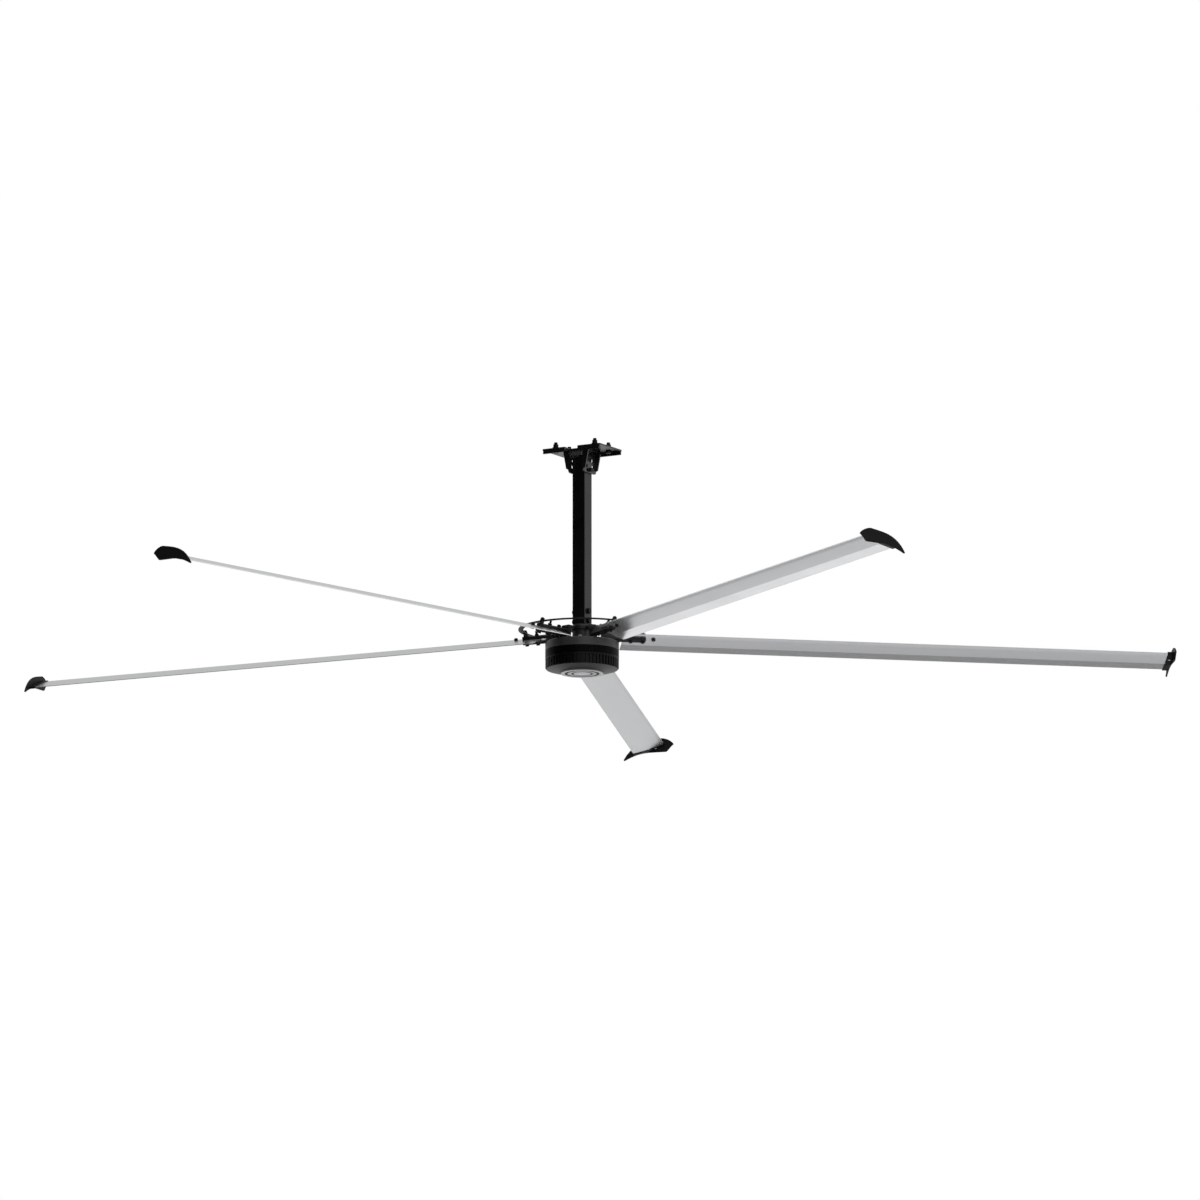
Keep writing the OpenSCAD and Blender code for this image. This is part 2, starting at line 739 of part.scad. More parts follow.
module hub_screw_places() for (i = [0:blade_n - 1]) rotate(first_angle + blade_step * (i + 0.5))
    translate([hub_screw_at, 0, 0]) children();

module arm_holes(first, last) for (r = [hub_bolt_r1, hub_bolt_r2, root_bolt_r, ring_bolt_r])
    if (r > first && r < last)
        on_arm(r) cylinder(r = bolt_r + bolt_gap, h = 2 * (sandwich + eps), center = true);

// The top ring and its spokes seen from above.
module top_outline() {
    circle(top_ring_r);
    for (i = [0:blade_n - 1]) rotate(first_angle + blade_step * i)
        translate([0, -riser_w / 2]) square([riser_out_r, riser_w]);
}

// A lower flange on the motor, five risers and spokes that meet in a top ring, and the pitched tongues.
module hub_spider() color("#2a2a2a") at_fan() difference() {
    union() {
        translate([0, 0, -motor_top]) cylinder(r = hub_flange_r, h = hub_flange_t);
        translate([0, 0, hub_up - spoke_t]) linear_extrude(spoke_t) top_outline();
        for (i = [0:blade_n - 1]) rotate(first_angle + blade_step * i) {
            translate([riser_in_r, -riser_w / 2 + riser_step, -motor_top + hub_flange_t / 2])
                cube([riser_l - riser_step, riser_w - 2 * riser_step, riser_h]);
            difference() {
                on_arm(riser_in_r + 6) translate([0, -arm_w / 2, -blade_t / 2])
                    cube([tongue_end_r - riser_in_r - 6, arm_w, blade_t]);
                arm_holes(riser_in_r, tongue_end_r);
            }
        }
    }
    translate([0, 0, -motor_top - eps]) cylinder(r = hub_in_r, h = hub_flange_t + 2 * eps);
    cylinder(r = collar_r + hub_gap, h = hub_up + eps);
    hub_screw_places() translate([0, 0, -motor_top - eps])
        cylinder(r = hub_screw_r + bolt_gap, h = hub_flange_t + 2 * eps);
}

module hub_screws() color("silver") at_fan() hub_screw_places()
    translate([0, 0, -motor_top + hub_flange_t]) difference() {
        union() {
            cylinder(r = hub_screw_head_r, h = hub_screw_head);
            translate([0, 0, -hub_flange_t - cover_t + 0.5])
                cylinder(r = hub_screw_r, h = hub_flange_t + cover_t);
        }
        translate([0, 0, hub_screw_head / 2]) hex(hub_screw_key, hub_screw_head);
    }

// Half of an arm's pair seen along it, with its outer edges rounded.
module arm_section() {
    translate([-arm_w / 2, 0]) square([arm_w, arm_t - arm_edge_r]);
    translate([-arm_w / 2 + arm_edge_r, 0]) square([arm_w - 2 * arm_edge_r, arm_t]);
    for (s = [-1, 1]) translate([s * (arm_w / 2 - arm_edge_r), arm_t - arm_edge_r])
        circle(arm_edge_r, $fn = 32);
}

// The lower arm is the upper one turned over about its own middle line.
module arm(i, turn) color("#2a2a2a") at_blade(i) difference() {
    on_arm(arm_start_r) rotate([turn, 0, 0]) translate([0, 0, blade_t / 2]) rotate([90, 0, 90])
        linear_extrude(arm_end_r - arm_start_r) arm_section();
    arm_holes(arm_start_r, arm_end_r);
}

// Blade: an extruded hollow aerofoil, flat on top, whose lower face turns up behind a crease

function nose_points() = [for (a = [-90:9:90])
    [nose_len * (1 - cos(a)) - nose_ahead, blade_t / 2 * sin(a)]];
function section() = concat(nose_points(),
    [[tail_end, blade_t / 2], [tail_end, blade_t / 2 - tail_t], [crease_at, -blade_t / 2]]);

module cell(y_low, y_high) translate([y_low, -blade_t / 2 + blade_wall])
    square([y_high - y_low, blade_t - 2 * blade_wall]);

// The hollow cells leave a solid web at the bolts and walls all round.
module blade_section() difference() {
    polygon(section());
    cell(-nose_ahead + nose_len * 0.6, -web_front);
    cell(web_back, crease_at - blade_wall / 2);
    polygon([[crease_at + blade_wall / 2, blade_wall - blade_t / 2 + tail_rise * blade_wall / 2],
        [crease_at + blade_wall / 2, blade_t / 2 - blade_wall],
        [crease_at + tail_cell, blade_t / 2 - blade_wall],
        [crease_at + tail_cell, blade_wall - blade_t / 2 + tail_rise * tail_cell]]);
}

// The section's first axis runs to the trailing edge, and the blade runs out along X.
module along_blade(from_r, length) on_arm(from_r) rotate([90, 0, 90]) linear_extrude(length) children();

module blade(i) color("lightgray") at_blade(i) difference() {
    along_blade(blade_start_r, tip_in_r - blade_start_r) blade_section();
    arm_holes(blade_start_r, arm_end_r);
    on_arm(outer_bolt_r) cylinder(r = bolt_r + bolt_gap, h = 2 * blade_t, center = true);
    at_winglet_screw() translate([0, 0, -blade_t]) cylinder(r = winglet_screw_r + bolt_gap, h = blade_t);
}

// Winglet: an upright plate with a socket that slides over the blade's end

module at_winglet_screw() on_arm(winglet_screw_at) translate([0, winglet_screw_back, 0]) children();

// A cubic curve from a to d that leaves towards b and arrives from c, without its last point.
function curve(a, b, c, d, n = 10) = [for (i = [0:n - 1]) let (t = i / n, u = 1 - t)
    u * u * u * a + 3 * u * u * t * b + 3 * u * t * t * c + t * t * t * d];

// The winglet seen along the blade: nose, back over the top to the tail's tip, and back below.
function winglet_points() = let (nose = [-winglet_ahead, winglet_up]) concat(
    curve(nose, nose + [2.5, 7], [-35, winglet_top], [-12, winglet_top]),
    curve([-12, winglet_top], [33, winglet_top - 10], [88, winglet_top - 11], winglet_tip),
    curve(winglet_tip, winglet_tip + [1, -2.5], winglet_tip + [-1, -5], winglet_tip - [4, 3.5], 5),
    curve(winglet_tip - [4, 3.5], [95, -34], [70, -20], [20, -18.5]),
    curve([-28, winglet_low], [-36, winglet_low + 1], nose + [16, -12], nose));

module winglet(i) color("#1c1c1c") at_blade(i) difference() {
    union() {
        translate([tip_in_r, 0, 0]) rotate([90, 0, 90]) linear_extrude(winglet_t)
            polygon(winglet_points());
        along_blade(tip_in_r - socket_depth, socket_depth + eps) offset(delta = socket_wall)
            polygon(section());
    }
    along_blade(tip_in_r - socket_depth - eps, socket_depth + eps) offset(delta = seat_fit)
        polygon(section());
    at_winglet_screw() translate([0, 0, -blade_t - 2 * socket_wall])
        cylinder(r = winglet_screw_r + bolt_gap, h = blade_t + 2 * socket_wall);
}

module winglet_screws() color("silver") for (i = [1:blade_n]) at_blade(i) at_winglet_screw() {
    translate([0, 0, -blade_t / 2 - socket_wall - winglet_head])
        cylinder(r = winglet_head_r, h = winglet_head);
    translate([0, 0, -blade_t / 2 - socket_wall - 1])
        cylinder(r = winglet_screw_r, h = blade_t / 2 + socket_wall + 1);
}

// Bolts through the arms and blades, and the safety ring

module arm_bolts() color("silver") for (i = [1:blade_n], r = [hub_bolt_r1, hub_bolt_r2, root_bolt_r])
    at_blade(i) on_arm(r) translate([0, 0, -sandwich])
        bolt_and_nut(bolt_r, 2 * sandwich, r == root_bolt_r ? root_bolt_tail : short_tail);

module blade_bolts() color("silver") for (i = [1:blade_n]) at_blade(i) on_arm(outer_bolt_r)
    translate([0, 0, -blade_t / 2]) bolt_and_nut(bolt_r, blade_t, short_tail);

module ring_bolts() color("silver") for (i = [1:blade_n]) at_blade(i) on_arm(ring_bolt_r)
    translate([0, 0, -sandwich]) bolt_and_nut(bolt_r, sandwich + wedge_top, short_tail);

module ring_bushing(low, high) on_arm(ring_bolt_r) ring(bolt_r + bolt_gap, sleeve_r, low, high);

// A block round a ring bolt whose lower face is at the given height.
module level_block(z) translate([ring_bolt_r - 50, -50, z]) cube(100);

// Each sleeve stands on the pitched upper arm, and its level upper end carries the ring.
module ring_spacers() color("#2a2a2a") for (i = [1:blade_n]) at_blade(i) intersection() {
    ring_bushing(sandwich, wedge_top);
    level_block(safety_up - 100);
}

// Each wedge lies on the level ring and gives the nut a face square to its bolt.
module wedge_washers() color("#2a2a2a") for (i = [1:blade_n]) at_blade(i) intersection() {
    ring_bushing(sandwich, wedge_top);
    level_block(safety_up + safety_t);
}

module safety_ring() color("#2a2a2a") at_fan() difference() {
    ring(safety_in_r, safety_out_r, safety_up, safety_up + safety_t);
    for (i = [0:blade_n - 1]) rotate(first_angle + blade_step * i) on_arm(ring_bolt_r)
        cylinder(r = bolt_r + bolt_gap, h = 2 * safety_up);
}

// Fixed lower housing, drive board and nose

// The finned wall as one outline, with each fin's flanks parallel enough to be cast.
function fin_points() = [for (i = [0:fin_n - 1], c = [[0, fin_root_r], [fin_flank, fin_tip_r],
    [fin_share, fin_tip_r], [fin_share + fin_flank, fin_root_r]])
    let (a = (i + c[0]) * 360 / fin_n) [c[1] * cos(a), c[1] * sin(a)]];

module post_places() for (a = [0:60:300]) rotate(a) translate([post_at, 0, 0]) children();

module board_post_places() for (a = [45:90:315]) rotate(a) translate([board_post_at, 0, 0]) children();

module drive_housing() color("#222222") at_fan() {
    difference() {
        union() {
            translate([0, 0, -housing_top - fin_rim_h]) cylinder(r = motor_r, h = fin_rim_h);
            intersection() {
                translate([0, 0, -housing_low]) linear_extrude(housing_h - fin_rim_h + eps)
                    polygon(fin_points());
                translate([0, 0, -housing_low])
                    cylinder(r1 = motor_r - fin_foot, r2 = motor_r + housing_h - fin_foot, h = housing_h);
            }
        }
        translate([0, 0, -housing_low - eps])
            cylinder(r = housing_in_r, h = housing_h - housing_plate_t + eps);
        translate([0, 0, -housing_low - eps])
            cylinder(r = shaft_r + shaft_step + seat_fit, h = housing_h + 2 * eps);
        flange_places() translate([0, 0, -plate_low - eps])
            cylinder(r = flange_bolt_r + run_fit, h = flange_bolt_deep + eps + 0.5);
    }
    post_places() ring(cover_screw_r, post_r, -cone_low + cover_shell, -housing_top - 2);
    board_post_places() translate([0, 0, -board_top])
        cylinder(r = board_post_r, h = board_top - housing_top - 2);
}

module flange_screws() color("silver") at_fan() flange_places() {
    translate([0, 0, -flange_low - flange_bolt_head]) hex(flange_bolt_half, flange_bolt_head);
    translate([0, 0, -flange_low - eps])
        cylinder(r = flange_bolt_r, h = flange_plate_t + eps + flange_bolt_deep);
}

module drive_board() color("darkgreen") at_fan() {
    difference() {
        ring(board_in_r, board_r, -board_top - board_t, -board_top);
        post_places() translate([0, 0, -board_top - 2 * board_t])
            cylinder(r = post_r + 0.5, h = 4 * board_t);
    }
    for (a = [20, 80, 200, 260]) rotate(a)
        translate([capacitor_at, 0, -board_top - board_t - capacitor_h])
            cylinder(r = capacitor_r, h = capacitor_h);
}

module bottom_cover() color("#222222") at_fan() difference() {
    rotate_extrude() polygon([[0, -cone_low], [nose_r, -cone_low], [motor_r - fin_foot, -housing_low],
        [housing_in_r - seat_fit, -housing_low],
        [housing_in_r - seat_fit, -housing_low + cover_rim_h],
        [housing_in_r - cover_spigot, -housing_low + cover_rim_h],
        [housing_in_r - cover_spigot, -housing_low],
        [nose_r, -cone_low + cover_shell], [0, -cone_low + cover_shell]]);
    post_places() translate([0, 0, -cone_low - eps])
        cylinder(r = cover_screw_r + bolt_gap, h = cover_shell + 2 * eps);
}

module cover_screws() color("silver") at_fan() post_places() {
    translate([0, 0, -cone_low - cover_head]) cylinder(r = cover_head_r, h = cover_head);
    translate([0, 0, -cone_low - eps]) cylinder(r = cover_screw_r - run_fit, h = cover_screw_len);
}

// Nose disc: a plain cap with two turned grooves, hollow above the cover screws.
module nose_disc() color("silver") at_fan() translate([0, 0, -cone_low]) rotate_extrude() difference() {
    polygon([[0, -nose_h], [nose_r - 2, -nose_h], [nose_r, -nose_h + 1.5], [nose_r, 0],
        [nose_r - nose_rim + 1, 0], [nose_r - nose_rim, -nose_recess], [0, -nose_recess]]);
    for (share = [0.42, 0.72]) translate([share * nose_r, -nose_h - eps])
        square([nose_groove_w, nose_groove + eps]);
}

ceiling_plate();
ceiling_bolts();
ceiling_washers();
ceiling_nuts();
yoke();
hanger_pin();
split_pin();
down_tube();
pin_bush();
clamp_bolts();
mast_adapter();
motor_shaft();
stator_hub();
stator_core();
stator_coils();
upper_inner_race();
lower_inner_race();
bearing_balls();
upper_outer_race();
lower_outer_race();
magnets();
rotor_cover();
rotor_can();
rotor_base();
hub_spider();
hub_screws();
drive_housing();
flange_screws();
drive_board();
bottom_cover();
cover_screws();
nose_disc();
arm(1, 180);  // lower_arm_1
arm(2, 180);  // lower_arm_2
arm(3, 180);  // lower_arm_3
arm(4, 180);  // lower_arm_4
arm(5, 180);  // lower_arm_5
arm(1, 0);  // upper_arm_1
arm(2, 0);  // upper_arm_2
arm(3, 0);  // upper_arm_3
arm(4, 0);  // upper_arm_4
arm(5, 0);  // upper_arm_5
blade(1);  // blade_1
blade(2);  // blade_2
blade(3);  // blade_3
blade(4);  // blade_4
blade(5);  // blade_5
winglet(1);  // winglet_1
winglet(2);  // winglet_2
winglet(3);  // winglet_3
winglet(4);  // winglet_4
winglet(5);  // winglet_5
arm_bolts();
blade_bolts();
ring_bolts();
ring_spacers();
wedge_washers();
winglet_screws();
safety_ring();
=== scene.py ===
import json
import math
import bmesh
import bpy
from mathutils import Matrix, Vector


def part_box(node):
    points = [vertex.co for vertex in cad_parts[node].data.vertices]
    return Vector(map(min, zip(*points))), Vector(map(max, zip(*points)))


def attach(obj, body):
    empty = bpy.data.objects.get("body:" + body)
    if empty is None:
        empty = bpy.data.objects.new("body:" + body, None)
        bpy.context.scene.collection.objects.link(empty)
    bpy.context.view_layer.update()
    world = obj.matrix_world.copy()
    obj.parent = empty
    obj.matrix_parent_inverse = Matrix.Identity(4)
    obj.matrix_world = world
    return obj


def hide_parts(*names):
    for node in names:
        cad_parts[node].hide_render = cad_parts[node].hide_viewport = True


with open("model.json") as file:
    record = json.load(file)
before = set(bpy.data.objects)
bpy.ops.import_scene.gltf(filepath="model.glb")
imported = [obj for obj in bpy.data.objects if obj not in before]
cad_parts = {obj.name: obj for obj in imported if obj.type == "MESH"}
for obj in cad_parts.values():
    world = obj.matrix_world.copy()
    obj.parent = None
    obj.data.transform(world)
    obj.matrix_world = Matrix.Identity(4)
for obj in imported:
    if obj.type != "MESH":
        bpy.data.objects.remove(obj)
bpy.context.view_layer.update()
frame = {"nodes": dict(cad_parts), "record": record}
nodes = frame["nodes"]

mm = 0.001
fanRadius = 2134 * mm
bladeCount = 5
firstAngle = 41.2
bladeAngles = [firstAngle + 360 / bladeCount * i for i in range(bladeCount)]
ringOverBlades = 24.5 * mm  # from the plane of the blades up to the safety ring
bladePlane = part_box("safety_ring")[0].z - ringOverBlades
print("frame loaded, blade plane at", round(bladePlane, 4))

# Camera: a long lens from below, as the photograph was taken

shot = {
    "azimuth": 30.5,
    "elevation": -10.8,
    "distance": 200.0,  # further off, other views of the fan would lie past their clipping distance
    "metresPerPixel": 3.54 * mm,
    "frameSize": 1200,
    "axisPixel": (582.1, 636.9),  # where the fan's axis meets the blade plane
    "sensor": 36.0,
}


def makeCamera():
    az = math.radians(shot["azimuth"])
    el = math.radians(shot["elevation"])
    back = Vector((math.sin(az) * math.cos(el), -math.cos(az) * math.cos(el), math.sin(el)))
    turn = (-back).to_track_quat("-Z", "Y")
    right = turn @ Vector((1, 0, 0))
    up = turn @ Vector((0, 1, 0))
    middle = shot["frameSize"] / 2
    aim = Vector((0, 0, bladePlane))
    aim += right * (middle - shot["axisPixel"][0]) * shot["metresPerPixel"]
    aim += up * (shot["axisPixel"][1] - middle) * shot["metresPerPixel"]
    data = bpy.data.cameras.new("camera")
    data.sensor_width = shot["sensor"]
    width = shot["frameSize"] * shot["metresPerPixel"]
    data.lens = shot["sensor"] * shot["distance"] / width
    data.clip_end = 2 * shot["distance"]
    cam = bpy.data.objects.new("camera", data)
    cam.rotation_mode = "QUATERNION"
    cam.rotation_quaternion = turn
    cam.location = aim + back * shot["distance"]
    bpy.context.scene.collection.objects.link(cam)
    bpy.context.scene.camera = cam


makeCamera()
print("camera placed")


# Shader maths as expressions

class Wire:
    def __init__(self, tree, socket):
        self.tree = tree
        self.socket = socket

    def maths(self, operation, a, b):
        made = self.tree.nodes.new("ShaderNodeMath")
        made.operation = operation
        for slot, value in zip(made.inputs, (a, b)):
            if isinstance(value, Wire):
                self.tree.links.new(value.socket, slot)
            else:
                slot.default_value = value
        return Wire(self.tree, made.outputs[0])

    def __add__(self, other):
        return self.maths("ADD", self, other)

    def __radd__(self, other):
        return self.maths("ADD", other, self)

    def __sub__(self, other):
        return self.maths("SUBTRACT", self, other)

    def __rsub__(self, other):
        return self.maths("SUBTRACT", other, self)

    def __mul__(self, other):
        return self.maths("MULTIPLY", self, other)

    def __rmul__(self, other):
        return self.maths("MULTIPLY", other, self)

    def __truediv__(self, other):
        return self.maths("DIVIDE", self, other)

    def __pow__(self, other):
        return self.maths("POWER", self, other)

    def largest(self, other):
        return self.maths("MAXIMUM", self, other)


class ShaderTree:
    def __init__(self, tree):
        self.tree = tree

    def node(self, kind, settings=None, out=0, **values):  # sockets by name, or by number as _0, _1
        made = self.tree.nodes.new(kind)
        for key, value in (settings or {}).items():
            if key == "stops":
                self.setStops(made.color_ramp, value)
            else:
                setattr(made, key, value)
        for key, value in values.items():
            slot = made.inputs[int(key[1:])] if key[0] == "_" else made.inputs[key.replace("_", " ")]
            if isinstance(value, Wire):
                self.tree.links.new(value.socket, slot)
            else:
                slot.default_value = value
        return Wire(self.tree, made.outputs[out])

    def setStops(self, ramp, stops):
        while len(ramp.elements) < len(stops):
            ramp.elements.new(0.5)
        for element, (at, tone) in zip(ramp.elements, stops):
            element.position = at
            element.color = (tone, tone, tone, 1)

    def ramp(self, fac, stops):
        return self.node("ShaderNodeValToRGB", {"stops": stops}, Fac=fac)

    def axis(self, letter, vector):
        return self.node("ShaderNodeSeparateXYZ", out=letter, _0=vector)


class Finish(ShaderTree):
    def __init__(self, name, colour, roughness, metallic):
        self.material = bpy.data.materials.new(name)
        self.material.use_nodes = True
        self.material.diffuse_color = (*colour, 1)
        super().__init__(self.material.node_tree)
        self.shader = self.tree.nodes["Principled BSDF"]
        self.shader.inputs["Base Color"].default_value = (*colour, 1)
        self.shader.inputs["Roughness"].default_value = roughness
        self.shader.inputs["Metallic"].default_value = metallic
        self.place = self.node("ShaderNodeTexCoord", out="Object")

    def noise(self, scale, detail=4.0, rough=0.5, at=None):
        return self.node("ShaderNodeTexNoise", Vector=at or self.place, Scale=scale, Detail=detail,
                         Roughness=rough)

    def waves(self, along, pitch):  # a sine from -1 to 1, one wave in each pitch
        return self.node("ShaderNodeMath", {"operation": "SINE"}, _0=along * (2 * math.pi / pitch))

    def radius(self):
        x = self.axis("X", self.place)
        y = self.axis("Y", self.place)
        return (x * x + y * y) ** 0.5

    def feed(self, slot, wire):
        self.tree.links.new(wire.socket, self.shader.inputs[slot])

    def bump(self, height, strength, distance):
        return self.node("ShaderNodeBump", Height=height, Strength=strength, Distance=distance)

    def mixColour(self, fac, a, b):
        a, b = (value if isinstance(value, Wire) else (*value, 1) for value in (a, b))
        return self.node("ShaderNodeMix", {"data_type": "RGBA"}, out=2, _0=fac, _6=a, _7=b)


# Materials

def powderCoat(name, colour, rough=0.42, gloss=0.4):  # fine orange peel with a trace of dust
    m = Finish(name, colour, rough, 0.0)
    m.shader.inputs["Specular IOR Level"].default_value = gloss
    peel = m.noise(900, 2)
    dust = m.ramp(m.noise(9, 5, 0.6), [(0.35, 0.0), (0.75, 1.0)])
    paler = tuple(c * 1.6 + 0.001 for c in colour)
    m.feed("Base Color", m.mixColour(dust * 0.5, colour, paler))
    m.feed("Roughness", dust * 0.12 + rough)
    m.feed("Normal", m.bump(peel, 0.25, 0.15 * mm))
    return m.material


def castPaint(name, colour, gloss=0.4):  # satin paint on a fine casting
    m = Finish(name, colour, 0.38, 0.0)
    m.shader.inputs["Specular IOR Level"].default_value = gloss
    grain = m.noise(520, 4)
    cloud = m.noise(14, 4)
    m.feed("Base Color", m.mixColour(cloud * 0.6, colour, tuple(c * 1.6 for c in colour)))
    m.feed("Roughness", grain * 0.14 + 0.32)
    m.feed("Normal", m.bump(grain, 0.3, 0.2 * mm))
    return m.material


def turnedMetal(name, colour, rough, pitch, across, metallic=1.0):  # lathe lines along z or along the radius
    m = Finish(name, colour, rough, metallic)
    run = m.axis("Z", m.place) if across == "z" else m.radius()
    lines = m.waves(run, pitch)
    stain = m.noise(22, 5)
    passes = m.node("ShaderNodeCombineXYZ", Z=run * 230.0)  # the tool's broad marks, a few millimetres apart
    marks = m.ramp(m.noise(1.0, 3, 0.7, passes), [(0.35, 0.0), (0.65, 1.0)])
    deep = tuple(c * 0.5 for c in colour)
    m.feed("Base Color", m.mixColour(marks * 0.7 + stain * 0.2, colour, deep))
    m.feed("Roughness", lines * 0.04 + stain * 0.12 + (rough - 0.06))
    m.feed("Normal", m.bump(lines, 0.25, 0.05 * mm))
    return m.material


nose = {
    "radius": 78.7 * mm,
    "pitch": 1.6 * mm,
    "bright": (0.66, 0.67, 0.68),
    "stained": (0.5, 0.5, 0.51),
    "groove": (0.02, 0.02, 0.021),
    "lands": [(0.0, 1.0), (0.38, 1.0), (0.41, 0.0), (0.47, 0.0), (0.50, 0.75), (0.64, 0.75), (0.68, 0.0),
              (0.77, 0.0), (0.81, 1.0), (0.94, 1.0), (0.97, 0.2)],  # 1 where bright, by share of the radius
}


def turnedRings():  # the nose disc: bright turned lands between darker grooves
    m = Finish("turnedNose", (0.6, 0.61, 0.62), 0.3, 0.9)
    lines = m.waves(m.radius(), nose["pitch"])
    stain = m.noise(22, 5)
    lands = m.ramp(m.radius() / nose["radius"], nose["lands"])
    metal = m.mixColour(stain, nose["bright"], nose["stained"])
    m.feed("Base Color", m.mixColour(lands, nose["groove"], metal))
    m.feed("Metallic", lands * 0.95)
    m.feed("Roughness", lines * 0.04 + stain * 0.12 + (0.62 - lands * 0.4))
    m.feed("Normal", m.bump(lines, 0.25, 0.05 * mm))
    return m.material


def bladeMetal(angle):  # extruded and anodised: faint die lines run along the blade
    m = Finish("bladeMetal%d" % round(angle), (0.80, 0.81, 0.82), 0.24, 0.88)
    turned = m.node("ShaderNodeMapping", {"vector_type": "TEXTURE"}, Vector=m.place,
                    Rotation=(0, 0, math.radians(angle)))
    stretched = m.node("ShaderNodeVectorMath", {"operation": "MULTIPLY"}, _0=turned, _1=(0.6, 160, 160))
    lines = m.noise(3.0, 3, 0.6, stretched)
    cloud = m.noise(5, 3, 0.5)
    m.feed("Base Color", m.mixColour(lines * 0.55 + cloud * 0.25, (0.84, 0.85, 0.86), (0.70, 0.71, 0.73)))
    m.feed("Roughness", lines * 0.08 + cloud * 0.05 + 0.17)
    m.feed("Normal", m.bump(lines, 0.12, 0.1 * mm))
    return m.material


def mouldedPlastic(name, colour, gloss=0.35):  # fine spark-eroded texture, a little worn to gray
    m = Finish(name, colour, 0.45, 0.0)
    m.shader.inputs["Specular IOR Level"].default_value = gloss
    grain = m.noise(1400, 2)
    rub = m.ramp(m.noise(26, 6, 0.65), [(0.5, 0.0), (0.8, 1.0)])
    m.feed("Base Color", m.mixColour(rub * 0.35, colour, tuple(c * 1.8 + 0.002 for c in colour)))
    m.feed("Roughness", grain * 0.16 + 0.38)
    m.feed("Normal", m.bump(grain, 0.3, 0.12 * mm))
    return m.material


def platedSteel(name, colour, rough):  # zinc spangle, or a dull oxide
    m = Finish(name, colour, rough, 0.9)
    spangle = m.node("ShaderNodeTexVoronoi", Vector=m.place, Scale=260.0)
    smear = m.noise(60, 4)
    m.feed("Base Color", m.mixColour(smear * 0.6, colour, tuple(c * 0.7 for c in colour)))
    m.feed("Roughness", spangle * 0.2 + smear * 0.1 + (rough - 0.1))
    m.feed("Normal", m.bump(smear, 0.15, 0.1 * mm))
    return m.material


def laminatedSteel():  # the stator's stack of sheets
    m = Finish("laminatedSteel", (0.4, 0.41, 0.43), 0.45, 1.0)
    sheets = m.waves(m.axis("Z", m.place), 0.5 * mm)
    m.feed("Roughness", sheets * 0.1 + 0.45)
    m.feed("Normal", m.bump(sheets, 0.4, 0.1 * mm))
    return m.material


def enamelWire():  # copper windings, turn beside turn
    m = Finish("enamelWire", (0.62, 0.27, 0.1), 0.3, 0.7)
    turns = m.waves(m.radius(), 1.1 * mm)
    m.feed("Base Color", m.mixColour(turns * 0.4 + 0.4, (0.5, 0.2, 0.07), (0.72, 0.34, 0.14)))
    m.feed("Normal", m.bump(turns, 0.6, 0.3 * mm))
    return m.material


def boardResist():  # green lacquer with square patches
    m = Finish("boardResist", (0.02, 0.16, 0.07), 0.35, 0.0)
    cells = m.node("ShaderNodeTexVoronoi", {"distance": "MANHATTAN"}, Vector=m.place, Scale=140.0)
    patches = m.ramp(cells, [(0.2, 0.0), (0.4, 1.0)])
    m.feed("Base Color", m.mixColour(patches, (0.03, 0.22, 0.1), (0.015, 0.13, 0.06)))
    return m.material


finishes = {
    "mount_paint": powderCoat("mountPaint", (0.003, 0.003, 0.0032), 0.2, 0.9),
    "tube_paint": powderCoat("tubePaint", (0.001, 0.001, 0.0011), 0.3, 0.5),
    "arm_black": powderCoat("armPaint", (0.003, 0.003, 0.0032)),
    "motor_black": castPaint("motorPaint", (0.0015, 0.0015, 0.0016), 0.2),
    "winglet_black": mouldedPlastic("wingletPlastic", (0.004, 0.004, 0.0043), 0.16),
    "band_gray": turnedMetal("turnedBand", (0.07, 0.07, 0.074), 0.36, 0.9 * mm, "z", 0.6),
    "nose_metal": turnedRings(),
    "zinc": platedSteel("zincPlate", (0.55, 0.56, 0.57), 0.35),
    "bolt_black": platedSteel("blackOxide", (0.02, 0.02, 0.022), 0.45),
    "shaft_steel": turnedMetal("groundShaft", (0.55, 0.56, 0.57), 0.25, 0.6 * mm, "z"),
    "core_steel": laminatedSteel(),
    "coil_copper": enamelWire(),
    "bearing_steel": turnedMetal("bearingSteel", (0.72, 0.73, 0.75), 0.16, 0.5 * mm, "r"),
    "magnet_gray": platedSteel("magnetPlate", (0.3, 0.3, 0.32), 0.35),
    "board_green": boardResist(),
}
ownFinishes = {  # nodes whose paint differs a little from the rest of their slot
    "bottom_cover": castPaint("coverPaint", (0.007, 0.007, 0.0075), 0.45),
    "rotor_can": castPaint("ringPaint", (0.0005, 0.0005, 0.0006), 0.06),
    "mast_adapter": turnedMetal("turnedCollar", (0.06, 0.06, 0.064), 0.42, 0.9 * mm, "z", 0.4),
}
rimPlastic = mouldedPlastic("rimPlastic", (0.003, 0.003, 0.0033), 0.2)
bladeFinishes = [bladeMetal(a) for a in bladeAngles]
slotOf = {s["node"]: s["material_slot"] for s in frame["record"]["subparts"]}
for name, cad in nodes.items():
    if slotOf[name] == "blade_metal":
        made = bladeFinishes[int(name[-1]) - 1]
    else:
        made = ownFinishes.get(name, finishes[slotOf[name]])
    cad.data.materials.clear()
    cad.data.materials.append(made)
print("materials made:", len(bpy.data.materials))


# Geometry Nodes helpers

